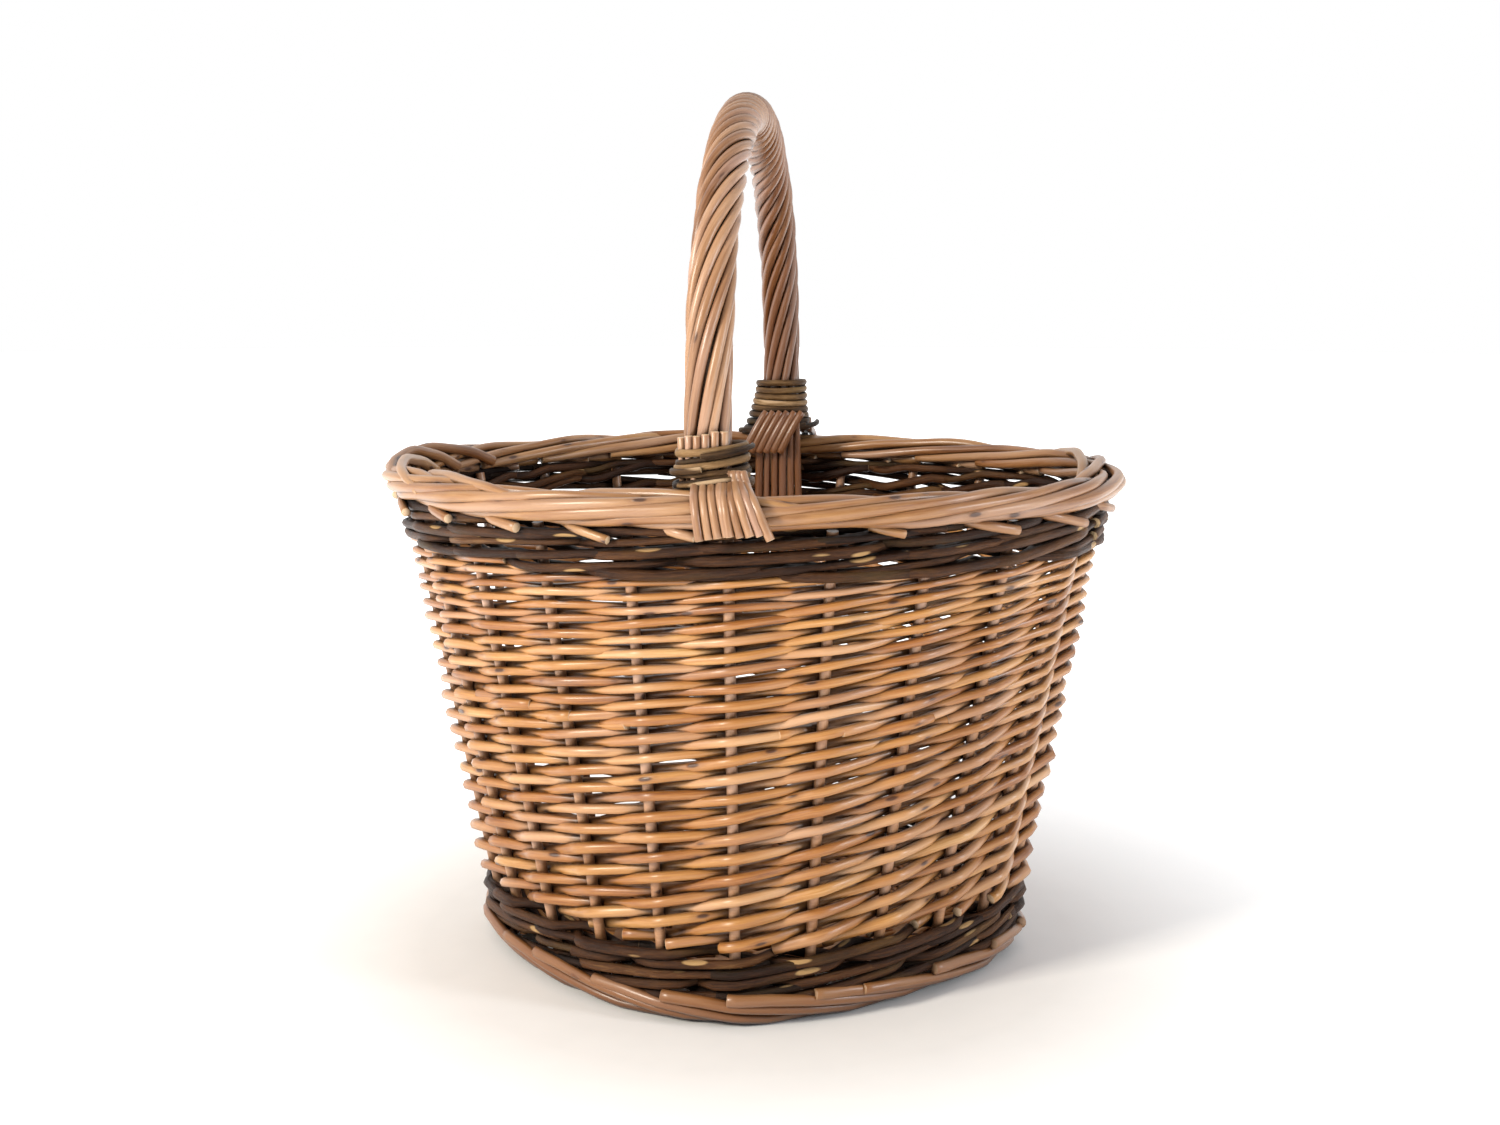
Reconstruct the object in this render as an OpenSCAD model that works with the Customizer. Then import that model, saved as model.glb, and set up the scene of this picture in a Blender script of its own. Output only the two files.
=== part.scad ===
// Woven willow market basket with a fixed bow handle.
// Millimetres, +Z up. The origin is on the ground, under the middle of the basket.
// X runs along the length of the oval. The handle bridges its width, along Y.

/* [Rim] */
// Length of the oval over the rim border
rim_length = 400; // [390:2:410]
// Width of the oval over the rim border
rim_width = 342; // [334:2:350]
// Height of the top of the rim border above the ground
rim_top = 267; // [262:1:272]
// Height of the rim border itself
rim_h = 18; // [16:1:20]
// Roundness of the oval at the rim, where 2 is an ellipse
rim_power = 1.9; // [1.8:0.05:2.2]

/* [Base] */
// Length of the oval over the foot border
foot_length = 304; // [296:2:312]
// Width of the oval over the foot border
foot_width = 280; // [270:2:286]
// Height of the foot border
foot_h = 14; // [13:0.5:15]
// Roundness of the oval at the foot, where 2 is an ellipse
foot_power = 1.55; // [1.5:0.05:2]
// Diameter of the sticks that run along the base
long_stick_d = 5.5; // [5:0.5:6]
// Diameter of the sticks that run across the base
cross_stick_d = 9; // [8.5:0.5:10]

/* [Wall] */
// Number of stakes
stake_count = 22; // [20:2:24]
// How far the first stake stands to the right of the front foot of the handle
stake_shift = 11; // [0:1:20]
// Diameter of a stake
stake_d = 5.5; // [5:0.5:6]
// Height of the top of the lower waling
lower_wale_top = 38; // [36:1:42]
// Height of the bottom of the upper waling
upper_wale_low = 229; // [225:1:235]
// Thickness of the weaving rods where the siding starts
weave_t_low = 4.4; // [4:0.2:4.6]
// Thickness of the weaving rods where the siding ends
weave_t_high = 3; // [2.6:0.2:3.6]
// Courses in each of the two sets of rods that the siding is woven from
courses_per_set = 5; // [4:1:6]

/* [Handle] */
// Height of the top of the handle above the ground
handle_top = 458; // [450:1:466]
// Distance between the middles of the two legs of the handle
handle_span = 282; // [278:2:284]
// Diameter of the bent core of the handle
core_d = 13; // [12:0.5:14]
// Diameter of a rod that wraps the core
wrap_d = 4.6; // [4.2:0.2:4.8]
// Number of rods that wrap the core
wrap_count = 10; // [8:1:11]
// Turns that each of them makes from foot to foot
wrap_turns = 4; // [3:0.5:5]
// Number of turns in each lashing at the foot of the handle
lashing_turns = 6; // [5:1:7]

/* [Hidden] */
$fn = 48;
long_count = 3;
cross_count = 7;

// The middle of the wall, between which every stake stands, is this far inside the borders.
foot_overhang = 11;
rim_overhang = 14;
sections_per_stake = 4;
sections = sections_per_stake * stake_count;
rim_bottom = rim_top - rim_h;
wale_t = 4.4;
wale_rounds = 2;
course_gap = 0.4;

// The woven base lies inside the lower waling.
base_z = 20;
base_t = 11;
base_inset = stake_d / 2 + wale_t + 0.3;
cross_spacing = 29;
long_pitch = long_stick_d + 0.6;

// The handle: straight legs, a half circle over them, and ends driven down inside the wall.
handle_r = core_d / 2 + wrap_d;
arch_r = handle_span / 2;
arch_z = handle_top - handle_r - arch_r;
leg_z = rim_top - 5;
bow_end_z = 140;
bow_end_d = 8;
wrap_bottom = rim_top + 1;
leg_length = arch_z - wrap_bottom;
wrap_length = 2 * leg_length + PI * arch_r;
wrap_rings = 40;
wrap_sides = 6;
rod_sides = 8;
lashing_d = 5.4;
lashing_pitch = 5;
lashing_r = 15;
butt_count = 8;
butt_d = 4.8;
tip_count = 6;
tip_d = 4.6;
tip_low_z = 190;

// A point of a superellipse.
function oval(a, b, power, t) = [
    a * sign(cos(t)) * pow(abs(cos(t)), 2 / power),
    b * sign(sin(t)) * pow(abs(sin(t)), 2 / power)];

// Points spaced evenly along a superellipse, counter-clockwise from the first stake.
function even_oval(a, b, power) =
    let (steps = 720,
         pts = [for (i = [0:steps]) oval(a, b, power, i * 360 / steps - 90)],
         table = [for (i = 0, run = 0; i <= steps;
                       run = run + (i < steps ? norm(pts[i + 1] - pts[i]) : 0), i = i + 1)
                  [run, i * 360 / steps - 90]],
         total = table[steps][0])
    [for (k = [0:sections - 1])
        oval(a, b, power, lookup((total * k / sections + stake_shift) % total, table))];

low_oval = even_oval(foot_length / 2 - foot_overhang, foot_width / 2 - foot_overhang, foot_power);
high_oval = even_oval(rim_length / 2 - rim_overhang, rim_width / 2 - rim_overhang, rim_power);

// The outward direction of the wall at each section.
outward = [for (k = [0:sections - 1])
    let (ahead = (k + 1) % sections, behind = (k + sections - 1) % sections,
         run = low_oval[ahead] - low_oval[behind] + high_oval[ahead] - high_oval[behind])
    [run[1], -run[0]] / norm(run)];

// How far up the wall a height is, from 0 at the foot border to 1 at the rim border.
function rise(z) = (z - foot_h / 2) / (rim_top - rim_h / 2 - foot_h / 2);

// A point of the wall at one section: off millimetres outside its middle, at height z.
function wall_point(k, off, z) =
    let (s = rise(z), p = low_oval[k] * (1 - s) + high_oval[k] * s + off * outward[k])
    [p[0], p[1], z];

// A closed or open skin over rings of points that run clockwise about the way they travel.
module skin(rings, closed) {
    m = len(rings[0]);
    n = len(rings);
    sides = [for (k = [0:n - (closed ? 1 : 2)], j = [0:m - 1])
        let (a = k * m + j, b = k * m + (j + 1) % m,
             c = ((k + 1) % n) * m + (j + 1) % m, d = ((k + 1) % n) * m + j)
        each [[a, b, c], [a, c, d]]];
    caps = closed ? [] : [[for (j = [m - 1:-1:0]) j], [for (j = [0:m - 1]) (n - 1) * m + j]];
    polyhedron([for (r = rings) each r], concat(sides, caps), convexity = 6);
}

// A band that follows the wall, with its profile given as [off, z] points.
module band(profile) {
    skin([for (k = [0:sections - 1]) [for (q = profile) wall_point(k, q[0], q[1])]], true);
}

function unit(v) = v / norm(v);

// The ends of the bow touch the inside of the siding.
bow_end_y = -wall_point(0, -stake_d / 2 - weave_t_low - bow_end_d / 2, bow_end_z)[1];

// A straight round rod from p to q.
module rod(p, q, d) {
    v = q - p;
    translate(p)
        rotate([0, acos(v[2] / norm(v)), atan2(v[1], v[0])])
            cylinder(d = d, h = norm(v));
}

// A bent rod through a few points, as a tube whose rings halve the angle at each bend.
module bent_rod(path, d) {
    last = len(path) - 1;
    skin([for (n = [0:last])
        let (t = unit(path[min(n + 1, last)] - path[max(n - 1, 0)]),
             e1 = unit(cross(t, [1, 0, 0])), e2 = cross(t, e1))
        [for (j = [0:rod_sides - 1])
            path[n] + d / 2 * (cos(-360 * j / rod_sides) * e1 + sin(-360 * j / rod_sides) * e2)]],
        false);
}

module stake(i) {
    k = sections_per_stake * (i - 1);
    color("tan") rod(wall_point(k, 0, foot_h), wall_point(k, 0, rim_bottom), stake_d);
}

module base_sticks() {
    for (i = [1:long_count]) base_long_stick(i);
    for (i = [1:cross_count]) base_cross_stick_solid(i);
}

module base_weave() {
    color("peru") difference() {
        translate([0, 0, base_z - base_t / 2])
            linear_extrude(base_t)
                polygon([for (k = [0:sections - 1])
                    let (p = wall_point(k, -base_inset, base_z)) [p[0], p[1]]]);
        base_sticks();
    }
}

// Half the width of the woven base at a distance x from its middle.
function base_half_width(x) =
    let (s = rise(base_z),
         a = foot_length / 2 * (1 - s) + rim_length / 2 * s - foot_overhang - base_inset,
         b = foot_width / 2 * (1 - s) + rim_width / 2 * s - foot_overhang - base_inset)
    b * pow(1 - pow(abs(x) / a, foot_power), 1 / foot_power);

module base_long_stick(i) {
    y = (i - (long_count + 1) / 2) * long_pitch;
    half = foot_length / 2 - foot_overhang - base_inset - 6;
    color("burlywood") rod([-half, y, base_z], [half, y, base_z], long_stick_d);
}

module base_cross_stick_solid(i) {
    x = (i - (cross_count + 1) / 2) * cross_spacing;
    half = base_half_width(x) - 2;
    rod([x, -half, base_z], [x, half, base_z], cross_stick_d);
}

// Each cross stick is slit, and the long sticks pass through the slit.
module base_cross_stick(i) {
    color("burlywood") difference() {
        base_cross_stick_solid(i);
        for (j = [1:long_count]) base_long_stick(j);
    }
}

module foot_border() {
    color("sandybrown")
        band([[-6, 0], [8, 0], [foot_overhang, 4], [foot_overhang, foot_h - 4], [8, foot_h],
              [-6, foot_h], [-8, foot_h - 4], [-8, 4]]);
}

// One course of weaving, between two heights, that runs in front of every other stake and
// behind the ones between. The next course, with the opposite phase, does the reverse.
module course(low, high, t_low, t_high, phase) {
    skin([for (k = [0:sections - 1])
        let (wave = phase * cos(180 * k / sections_per_stake),
             off_low = wave * (stake_d + t_low) / 2, off_high = wave * (stake_d + t_high) / 2)
        [wall_point(k, off_low - t_low / 2, low), wall_point(k, off_low + t_low / 2, low),
         wall_point(k, off_high + t_high / 2, high), wall_point(k, off_high - t_high / 2, high)]],
        true);
}

// Courses stacked between two heights.
module courses(low, high, t_low, t_high, count) {
    pitch = (high - low) / count;
    for (i = [0:count - 1])
        course(low + i * pitch, low + (i + 1) * pitch - course_gap,
               t_low + (t_high - t_low) * i / count, t_low + (t_high - t_low) * (i + 1) / count,
               i % 2 == 0 ? 1 : -1);
}

module lower_wale() {
    color("saddlebrown") courses(foot_h + course_gap, lower_wale_top, wale_t, wale_t, wale_rounds);
}

siding_middle = (lower_wale_top + upper_wale_low) / 2;
weave_t_middle = (weave_t_low + weave_t_high) / 2;

module siding_first_set() {
    color("peru")
        courses(lower_wale_top, siding_middle, weave_t_low, weave_t_middle, courses_per_set);
}

module siding_second_set() {
    color("burlywood")
        courses(siding_middle, upper_wale_low, weave_t_middle, weave_t_high, courses_per_set);
}

module upper_wale() {
    color("saddlebrown") courses(upper_wale_low, rim_bottom, wale_t, wale_t, wale_rounds);
}

module rim_border() {
    inner = -7;
    color("sandybrown")
        band([[inner + 3, rim_bottom], [rim_overhang - 4, rim_bottom], [rim_overhang, rim_bottom + 6],
              [rim_overhang, rim_top - 6], [rim_overhang - 5, rim_top], [inner + 4, rim_top],
              [inner, rim_top - 5], [inner, rim_bottom + 5]]);
}

// The pointed ends of the handle's core, which lie inside the wall on both sides.
module bow_ends() {
    for (side = [-1, 1]) {
        top = [0, side * arch_r, leg_z];
        end = [0, side * bow_end_y, bow_end_z];
        v = top - end;
        translate(end)
            rotate([0, acos(v[2] / norm(v)), atan2(v[1], v[0])])
                cylinder(d1 = bow_end_d, d2 = core_d, h = norm(v));
    }
}

module handle_bow() {
    color("burlywood") {
        translate([0, 0, arch_z])
            rotate([90, 0, 90])
                rotate_extrude(angle = 180) translate([arch_r, 0]) circle(d = core_d);
        for (side = [-1, 1]) {
            rod([0, side * arch_r, leg_z], [0, side * arch_r, arch_z], core_d);
            translate([0, side * arch_r, leg_z]) sphere(d = core_d);
        }
        bow_ends();
    }
}

// The middle of the handle and the way out of its bend, at a distance along it from the front foot.
function handle_frame(run) =
    run < leg_length
        ? [[0, -arch_r, wrap_bottom + run], [0, -1, 0]]
        : run > wrap_length - leg_length
            ? [[0, arch_r, wrap_bottom + wrap_length - run], [0, 1, 0]]
            : let (t = (run - leg_length) / arch_r * 180 / PI, out = [0, -cos(t), sin(t)])
              [[0, 0, arch_z] + arch_r * out, out];

// A point on the middle line of a wrapping rod.
function wrap_point(i, run) =
    let (f = handle_frame(run),
         turn = 360 * (i / wrap_count + wrap_turns * run / wrap_length),
         r = (core_d + wrap_d) / 2)
    f[0] + r * (cos(turn) * f[1] + sin(turn) * [1, 0, 0]);

module handle_wrap_rod(i) {
    step = wrap_length / wrap_rings;
    rings = [for (n = [0:wrap_rings])
        let (p = wrap_point(i, n * step),
             t = unit(wrap_point(i, n * step + 1) - wrap_point(i, n * step - 1)),
             off = p - handle_frame(n * step)[0],
             e1 = unit(off - (off * t) * t), e2 = cross(t, e1))
        [for (j = [0:wrap_sides - 1])
            p + wrap_d / 2 * (cos(-360 * j / wrap_sides) * e1 + sin(-360 * j / wrap_sides) * e2)]];
    color("tan") skin(rings, false);
}

// Turns of split willow that bind the wrapping rods to the foot of the handle.
module handle_lashing(side) {
    color("saddlebrown") translate([0, side * arch_r, rim_top + lashing_d / 2])
        rotate_extrude() {
            for (i = [0:lashing_turns - 1])
                translate([lashing_r, i * lashing_pitch]) circle(d = lashing_d);
            translate([handle_r + 0.3, 0])
                square([lashing_r - handle_r - 0.3, (lashing_turns - 1) * lashing_pitch]);
        }
}

// Thick ends of the wrapping rods, which fan out over the outside of the rim border.
module rod_butts(side) {
    outside = rim_width / 2 + butt_d / 2 + 0.3;
    above = rim_top + butt_d / 2 + 0.3;
    color("tan") for (i = [0:butt_count - 1]) {
        across = (i - (butt_count - 1) / 2) * (butt_d + 0.5);
        lean = 9 * i / (butt_count - 1);
        path = [[across, outside - 12, above + 1.5],
                [across + lean * 0.3, outside - 5.5, above - 1],
                [across + lean * 0.6, outside - 1.2, above - 5.5],
                [across + lean * 0.8, outside, above - 12],
                [across + lean * 1.2, outside, rim_bottom - 2]];
        bent_rod([for (q = path) [-side * q[0], side * q[1], q[2]]], butt_d);
    }
}

// Thin ends of the wrapping rods, which run down the inside of the wall beside the bow.
module rod_tips(side) {
    inside = arch_r - core_d / 2 - tip_d / 2 - 0.3;
    color("tan") for (i = [0:tip_count - 1]) {
        across = (i - (tip_count - 1) / 2) * (tip_d + 0.3);
        bent_rod([[across, side * (inside - 1), rim_top - 2],
                  [across, side * (inside - 8), tip_low_z]], tip_d);
    }
}

base_weave();
foot_border();
lower_wale();
siding_first_set();
siding_second_set();
upper_wale();
rim_border();
for (i = [1:long_count])
    base_long_stick(i);
for (i = [1:cross_count])
    base_cross_stick(i);
for (i = [1:stake_count])
    stake(i);
handle_bow();
for (i = [1:wrap_count])
    handle_wrap_rod(i);
handle_lashing(-1);  // handle_lashing_front
handle_lashing(1);  // handle_lashing_back
rod_butts(-1);  // rod_butts_front
rod_butts(1);  // rod_butts_back
rod_tips(-1);  // rod_tips_front
rod_tips(1);  // rod_tips_back
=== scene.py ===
import math

import bpy
import numpy as np
from mathutils import Matrix, Vector


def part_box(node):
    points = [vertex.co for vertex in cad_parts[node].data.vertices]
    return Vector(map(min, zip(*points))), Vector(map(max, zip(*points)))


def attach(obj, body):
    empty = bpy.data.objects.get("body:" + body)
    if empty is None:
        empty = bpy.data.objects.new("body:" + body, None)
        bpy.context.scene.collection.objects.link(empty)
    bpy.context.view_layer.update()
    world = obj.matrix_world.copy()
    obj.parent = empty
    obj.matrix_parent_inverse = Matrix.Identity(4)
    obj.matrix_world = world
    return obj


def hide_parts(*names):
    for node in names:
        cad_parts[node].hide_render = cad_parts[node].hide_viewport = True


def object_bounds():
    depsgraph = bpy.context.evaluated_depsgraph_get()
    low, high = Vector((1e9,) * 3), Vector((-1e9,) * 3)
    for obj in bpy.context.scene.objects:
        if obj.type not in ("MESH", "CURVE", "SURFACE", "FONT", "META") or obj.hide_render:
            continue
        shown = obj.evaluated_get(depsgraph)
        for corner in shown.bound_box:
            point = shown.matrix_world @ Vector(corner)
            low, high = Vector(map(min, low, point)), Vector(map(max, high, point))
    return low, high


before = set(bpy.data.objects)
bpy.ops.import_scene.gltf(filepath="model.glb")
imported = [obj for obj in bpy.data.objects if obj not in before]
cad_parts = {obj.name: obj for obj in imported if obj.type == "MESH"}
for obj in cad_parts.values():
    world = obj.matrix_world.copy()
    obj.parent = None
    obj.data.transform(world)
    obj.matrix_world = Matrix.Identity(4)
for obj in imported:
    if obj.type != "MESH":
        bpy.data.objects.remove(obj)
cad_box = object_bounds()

TAU = 2 * math.pi
SEED = 7
MM = 0.001

# ---------------------------------------------------------------- places from the frame


def low_z(node):
    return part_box(node)[0][2]


def high_z(node):
    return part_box(node)[1][2]


def count_nodes(start):
    return sum(1 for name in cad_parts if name.startswith(start))


def stake_line(index):
    """The middle of a CAD stake at its lower and its upper end."""
    verts = np.array([v.co[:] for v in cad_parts[f"stake_{index + 1}"].data.vertices])
    middle = (verts[:, 2].min() + verts[:, 2].max()) / 2
    return [verts[verts[:, 2] < middle].mean(axis=0), verts[verts[:, 2] > middle].mean(axis=0)]


STAKES = count_nodes("stake_")
LINES = np.array([stake_line(i) for i in range(STAKES)])
SIDING_LOW = low_z("siding_first_set")
SIDING_HIGH = high_z("siding_second_set")
RIM_LOW = low_z("rim_border")
RIM_HIGH = high_z("rim_border")
BASE_Z = (low_z("base_weave") + high_z("base_weave")) / 2
STAKE_R = 2.75 * MM       # radius of a CAD stake


def at_height(z):
    """The stakes' middles at each height of an array, as x and y."""
    low, high = LINES[:, 0], LINES[:, 1]
    s = (np.asarray(z)[:, None] - low[:, 2]) / (high[:, 2] - low[:, 2])
    return low[:, :2] * (1 - s[..., None]) + high[:, :2] * s[..., None]


def wall(u, z, off, straight=0.0):
    """Points of the wall u stakes round from the front, at height z, off outside its middle.
    straight takes the wall from a smooth oval, at 0, to straight runs between stakes, at 1."""
    u, z, off = np.broadcast_arrays(np.asarray(u, float), z, off)
    ring = at_height(z)
    i = np.floor(u).astype(int)
    f = (u - i)[:, None]
    rows = np.arange(len(u))
    a, b, c, d = (ring[rows, (i + k) % STAKES] for k in (-1, 0, 1, 2))
    # a Catmull-Rom curve through the stakes b and c, and its slope
    square, cube = 2 * a - 5 * b + 4 * c - d, 3 * b - a - 3 * c + d
    smooth = 0.5 * (2 * b + (c - a) * f + square * f**2 + cube * f**3)
    slope = 0.5 * ((c - a) + 2 * square * f + 3 * cube * f**2)
    out = np.stack([slope[:, 1], -slope[:, 0]], axis=1)
    out /= np.linalg.norm(out, axis=1)[:, None]
    flat = smooth * (1 - straight) + (b + (c - b) * f) * straight + out * off[:, None]
    return np.column_stack([flat, z])


# ---------------------------------------------------------------- rods

rng = np.random.default_rng(SEED)

CAP_STAND = 0.12      # how far a rod's cut face stands past its end, as a share of its radius
CAP_CROWN = 0.03      # how far the middle of the face stands past its edge
CAP_SIZE = 0.86       # how wide the face is: the bevel round it takes the rest


def wander(count, step, size):
    """A smooth random drift along a rod, as one value for each of its points."""
    s = np.arange(count) * step
    waves = [(rng.uniform(0.6, 2.2), rng.uniform(0, TAU)) for _ in range(3)]
    return size / 3 * sum(np.sin(s * w + p) for w, p in waves)


class Bundle:
    """Rods gathered into one mesh, with what the materials need to know at each point: where it is
    along and across its rod (grain), how light the rod is (tone), and whether it is a cut face (cut)."""

    def __init__(self, name):
        self.name = name
        self.verts, self.faces, self.grain, self.tone, self.cut = [], [], [], [], []
        self.count = 0

    def add_ring(self, points, grain, tone, cut):
        start = self.count
        self.verts.append(points)
        self.grain.append(grain)
        self.tone.append(np.full(len(points), tone))
        self.cut.append(np.full(len(points), cut))
        self.count += len(points)
        return start

    def rod(self, path, radius, sides=8, ref=(0, 0, 1), tone=None, flat=1.0, ends=(True, True)):
        """A round rod, or a flattened strip, along a path. ref is any direction that it never runs in.
        ends says which of its two ends are cut faces, paler than the skin."""
        path = np.asarray(path, float)
        n = len(path)
        radius = np.broadcast_to(np.asarray(radius, float), n)
        tone = rng.random() if tone is None else tone
        along = np.concatenate([[0], np.cumsum(np.linalg.norm(np.diff(path, axis=0), axis=1))])
        tangent = np.gradient(path, axis=0)
        tangent /= np.linalg.norm(tangent, axis=1)[:, None]
        ref = np.broadcast_to(np.asarray(ref, float), path.shape)
        e1 = ref - (ref * tangent).sum(axis=1)[:, None] * tangent
        e1 /= np.linalg.norm(e1, axis=1)[:, None]
        e2 = np.cross(tangent, e1)
        angle = np.arange(sides) * TAU / sides
        ca, sa = np.cos(angle), np.sin(angle)
        shift = rng.uniform(0, 50, 3)
        rings = (path[:, None] + radius[:, None, None] *
                 (ca[None, :, None] * e1[:, None] + flat * sa[None, :, None] * e2[:, None]))
        grain = np.stack([np.broadcast_to(along[:, None], (n, sides)) + shift[0],
                          radius[:, None] * ca + shift[1], radius[:, None] * sa + shift[2]], axis=-1)
        start = self.add_ring(rings.reshape(-1, 3), grain.reshape(-1, 3), tone, 0.0)
        j = np.arange(sides)
        for k in range(n - 1):
            a = start + k * sides
            self.faces += list(zip(a + j, a + (j + 1) % sides, a + sides + (j + 1) % sides, a + sides + j))
        for end, sign, is_cut in ((0, -1, ends[0]), (n - 1, 1, ends[1])):
            self.cap(start + end * sides, rings[end], path[end], tangent[end] * sign, sign, radius[end],
                     grain[end], tone, float(is_cut))

    def cap(self, base, edge, centre, ahead, sign, radius, grain, tone, cut):
        """Closes the end of a rod, whose last ring starts at vertex base, with a bevel and a face.
        ahead points out of the rod, and sign is -1 at the rod's start and 1 at its end."""
        sides = len(edge)
        lip = centre + ahead * radius * CAP_STAND
        ring = self.add_ring(lip + (edge - centre) * CAP_SIZE, grain, tone, cut)
        middle = self.add_ring(lip[None] + ahead * radius * CAP_CROWN, grain[:1], tone, cut)
        for q in range(sides):
            r = (q + 1) % sides
            quad = (base + q, ring + q, ring + r, base + r)
            tri = (ring + q, middle, ring + r)
            self.faces += [quad[::-sign], tri[::-sign]]

    def finish(self, material, slot, *nodes):
        """Makes the object, gives it its material, hangs it on the root body and hides the CAD nodes it
        stands for.
        """
        mesh = bpy.data.meshes.new(self.name)
        mesh.from_pydata(np.concatenate(self.verts).tolist(), [], [tuple(map(int, f)) for f in self.faces])
        mesh.update()
        for name, kind, key, values in (("grain", "FLOAT_VECTOR", "vector", self.grain),
                                        ("tone", "FLOAT", "value", self.tone),
                                        ("cut", "FLOAT", "value", self.cut)):
            layer = mesh.attributes.new(name, kind, "POINT")
            layer.data.foreach_set(key, np.concatenate(values).astype(np.float32).ravel())
        mesh.shade_smooth()
        piece = bpy.data.objects.new(self.name, mesh)
        bpy.context.collection.objects.link(piece)
        mesh.materials.append(material)
        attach(piece, "root")
        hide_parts(*nodes)


# ---------------------------------------------------------------- materials


class Nodes:
    """Short ways to build a material's node tree."""

    def __init__(self, name):
        self.material = bpy.data.materials.new(name)
        self.material.use_nodes = True
        self.tree = self.material.node_tree
        self.tree.nodes.clear()

    def node(self, kind):
        return self.tree.nodes.new(kind)

    def plug(self, socket, value):
        if isinstance(value, bpy.types.NodeSocket):
            self.tree.links.new(value, socket)
        else:
            socket.default_value = value

    def place(self):
        """Where a point is on the basket."""
        return self.node("ShaderNodeTexCoord").outputs["Object"]

    def attribute(self, name, output="Fac"):
        n = self.node("ShaderNodeAttribute")
        n.attribute_name = name
        return n.outputs[output]

    def math(self, op, a, b=0.0, clamp=False):
        n = self.node("ShaderNodeMath")
        n.operation = op
        n.use_clamp = clamp
        self.plug(n.inputs[0], a)
        self.plug(n.inputs[1], b)
        return n.outputs[0]

    def add_share(self, total, value, share):
        return self.math("ADD", total, self.math("MULTIPLY", value, share))

    def stretch(self, vector, along, across):
        """Scales rod coordinates, to so many waves per metre along the rod and across it."""
        n = self.node("ShaderNodeVectorMath")
        n.operation = "MULTIPLY"
        self.plug(n.inputs[0], vector)
        n.inputs[1].default_value = (along, across, across)
        return n.outputs[0]

    def noise(self, vector, detail=3.0, rough=0.55):
        n = self.node("ShaderNodeTexNoise")
        self.plug(n.inputs["Vector"], vector)
        n.inputs["Scale"].default_value = 1.0
        n.inputs["Detail"].default_value = detail
        n.inputs["Roughness"].default_value = rough
        return n.outputs["Fac"]

    def patches(self, vector, detail, level, contrast):
        """1 where a noise is well above a level, 0 where it is below."""
        above = self.math("SUBTRACT", self.noise(vector, detail), level)
        return self.math("MULTIPLY", above, contrast, clamp=True)

    def spots(self, vector, radius):
        """1 in the middle of scattered spots, fading to 0 at their radius."""
        n = self.node("ShaderNodeTexVoronoi")
        self.plug(n.inputs["Vector"], vector)
        n.inputs["Scale"].default_value = 1.0
        far = self.math("DIVIDE", n.outputs["Distance"], radius)
        return self.math("SUBTRACT", 1.0, far, clamp=True)

    def ramp(self, value, stops):
        n = self.node("ShaderNodeValToRGB")
        self.plug(n.inputs[0], value)
        for k, (pos, colour) in enumerate(stops):
            spot = n.color_ramp.elements[k] if k < 2 else n.color_ramp.elements.new(pos)
            spot.position = pos
            spot.color = (*colour, 1.0)
        return n.outputs["Color"]

    def mix(self, factor, a, b):
        n = self.node("ShaderNodeMix")
        n.data_type = "RGBA"
        self.plug(n.inputs["Factor"], factor)
        for socket, value in ((n.inputs[6], a), (n.inputs[7], b)):
            self.plug(socket, (*value, 1.0) if isinstance(value, tuple) else value)
        return n.outputs[2]

    def bump(self, height, strength, distance):
        n = self.node("ShaderNodeBump")
        self.plug(n.inputs["Height"], height)
        n.inputs["Strength"].default_value = strength
        n.inputs["Distance"].default_value = distance
        return n.outputs["Normal"]

    def painted_crevice_shade(self, colour, dark):
        """Paints shade into a colour where rods crowd together: ambient occlusion mixes it towards a dark
        colour.
        """
        n = self.node("ShaderNodeAmbientOcclusion")
        n.samples = 6
        n.inputs["Distance"].default_value = 14 * MM
        open_share = self.math("MULTIPLY", self.math("SUBTRACT", n.outputs["AO"], 0.10), 1.6, clamp=True)
        return self.mix(self.math("POWER", open_share, 0.9), dark, colour)

    def surface(self, colour, roughness, normal, specular=0.5, coat=0.0):
        """Joins everything to the shader, and returns it."""
        n = self.node("ShaderNodeBsdfPrincipled")
        self.plug(n.inputs["Base Color"], colour)
        self.plug(n.inputs["Roughness"], roughness)
        self.plug(n.inputs["Normal"], normal)
        n.inputs["Specular IOR Level"].default_value = specular
        n.inputs["Coat Weight"].default_value = coat
        n.inputs["Coat Roughness"].default_value = 0.27
        out = self.node("ShaderNodeOutputMaterial")
        self.tree.links.new(n.outputs["BSDF"], out.inputs["Surface"])
        return n


BUD = (0.045, 0.014, 0.006)
PEELED_END = (0.74, 0.53, 0.33)
BARK_END = (0.55, 0.38, 0.21)
# dark colours of the painted shade in the crevices between rods
WILLOW_PAINTED_SHADE = (0.026, 0.009, 0.003)
BARK_PAINTED_SHADE = (0.003, 0.0015, 0.001)


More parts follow.
